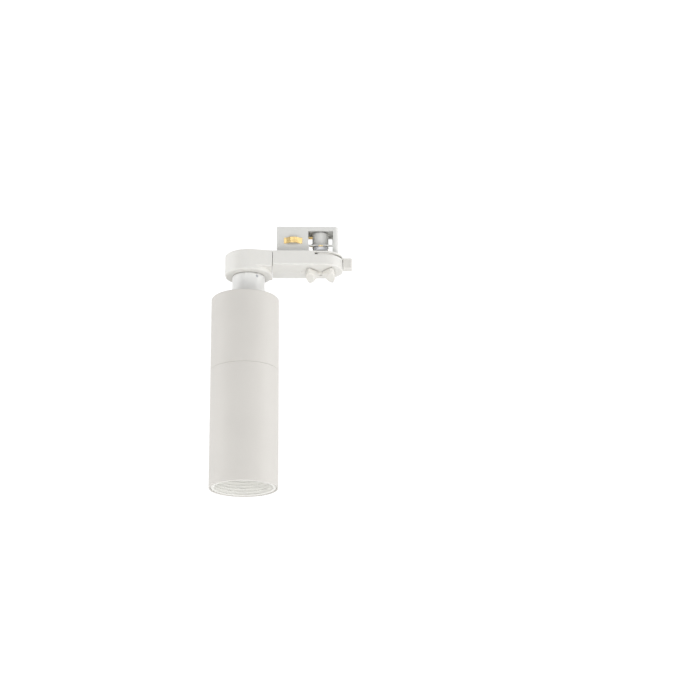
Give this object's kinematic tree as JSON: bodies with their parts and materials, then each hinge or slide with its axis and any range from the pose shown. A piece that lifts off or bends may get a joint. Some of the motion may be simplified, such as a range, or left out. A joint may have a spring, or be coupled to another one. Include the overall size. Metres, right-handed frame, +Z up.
{
  "type": "track spotlight",
  "caption": "Slim white tube spotlight on a three-circuit track adapter, with a pan hub, a tilting head, a locking lever and a circuit selector knob.",
  "frame": {"origin": "on the pan axis, in the plane of the adapter's shoulder that meets the underside of the track", "axes": "+Z up into the track, +X along the track from the pan hub to the locking lever, +Y to the side that the mouth swings to"},
  "size_m": [0.1151, 0.055, 0.22],
  "materials": {
    "adapter_plastic": "satin moulded polycarbonate, white",
    "insert_plastic": "fine-grained moulded polycarbonate, white",
    "lever_plastic": "satin moulded plastic, white",
    "knob_plastic": "satin moulded plastic, warm white",
    "terminal_plastic": "moulded polyamide, white",
    "nylon": "natural nylon",
    "lead_sheath": "heat-resistant insulated wire",
    "neck_gloss": "semi-gloss white paint on steel",
    "tube_powder": "fine-textured matt white powder coat on aluminium",
    "baffle_plastic": "matt white moulded plastic with ridged bore",
    "zinc_steel": "bright zinc plated",
    "black_steel": "blackened",
    "spring_steel": "hardened spring steel",
    "aluminium_raw": "turned, clear anodised",
    "brass": "plain brass",
    "seal_rubber": "black nitrile",
    "ceramic": "unglazed steatite",
    "lamp_shell": "thermal plastic, white",
    "lamp_glass": "clear",
    "led_board": "phosphor-coated module"
  },
  "bodies": {
    "adapter": {"hub_housing": "adapter_plastic", "adapter_housing": "adapter_plastic", "insert_body": "insert_plastic", "insert_cap": "insert_plastic", "cap_screw": "zinc_steel", "housing_screws": "zinc_steel", "earth_contact": "brass", "detent_spring": "spring_steel", "terminal_block": "terminal_plastic", "terminal_screws": "brass", "adapter_leads": "lead_sheath"},
    "lever": {"locking_lever": "lever_plastic", "locking_cam": "zinc_steel", "neutral_contact": "brass"},
    "selector": {"selector_knob": "knob_plastic", "knob_screw": "zinc_steel", "selector_shaft": "zinc_steel", "contact_carrier": "insert_plastic", "circuit_contacts": "brass"},
    "neck": {"neck": "neck_gloss", "neck_grub_screw": "zinc_steel", "pan_nipple": "zinc_steel", "pan_friction_washer": "nylon", "pan_washer": "zinc_steel", "pan_locknut": "zinc_steel", "pan_stop_pin": "zinc_steel", "pivot_screws": "zinc_steel", "neck_leads": "lead_sheath"},
    "head": {"upper_tube": "tube_powder", "top_cap": "tube_powder", "hinge_bracket": "zinc_steel", "hinge_screws": "zinc_steel", "friction_washers": "nylon", "coupling_ring": "aluminium_raw", "ring_grub_screws": "black_steel", "seal_ring": "seal_rubber", "lampholder_strap": "zinc_steel", "strap_screws": "zinc_steel", "lampholder": "ceramic", "lampholder_screws": "zinc_steel", "lampholder_contacts": "brass", "lampholder_leads": "lead_sheath"},
    "front": {"front_tube": "tube_powder", "baffle_ring": "baffle_plastic", "baffle_spring_ring": "spring_steel"},
    "lamp": {"lamp_base": "ceramic", "lamp_pins": "brass", "lamp_body": "lamp_shell", "lamp_lens": "lamp_glass", "lamp_led": "led_board"}
  },
  "joints": [
    {"name": "pan_swivel", "type": "hinge", "parent": "adapter", "child": "neck", "pos_m": [0, 0, -0.0174], "axis": [0, 0, 1], "range_deg": [-170, 170]},
    {"name": "head_tilt", "type": "hinge", "parent": "neck", "child": "head", "pos_m": [0, 0, -0.0516], "axis": [1, 0, 0], "range_deg": [0, 90]},
    {"name": "lever_lock", "type": "hinge", "parent": "adapter", "child": "lever", "pos_m": [0.05915, 0, -0.0023], "axis": [0, 0, 1], "range_deg": [-90, 0]},
    {"name": "circuit_select", "type": "hinge", "parent": "adapter", "child": "selector", "pos_m": [0.05915, 0, -0.0131], "axis": [0, 0, 1], "range_deg": [-90, 45]},
    {"name": "front_tube_pull", "type": "slide", "parent": "head", "child": "front", "axis": [0, 0, -1], "range_m": [0, 0.1]},
    {"name": "lamp_twist", "type": "hinge", "parent": "head", "child": "lamp", "pos_m": [-0.0025, 0, -0.0865], "axis": [0, 0, 1], "range_deg": [0, 25]}
  ]
}
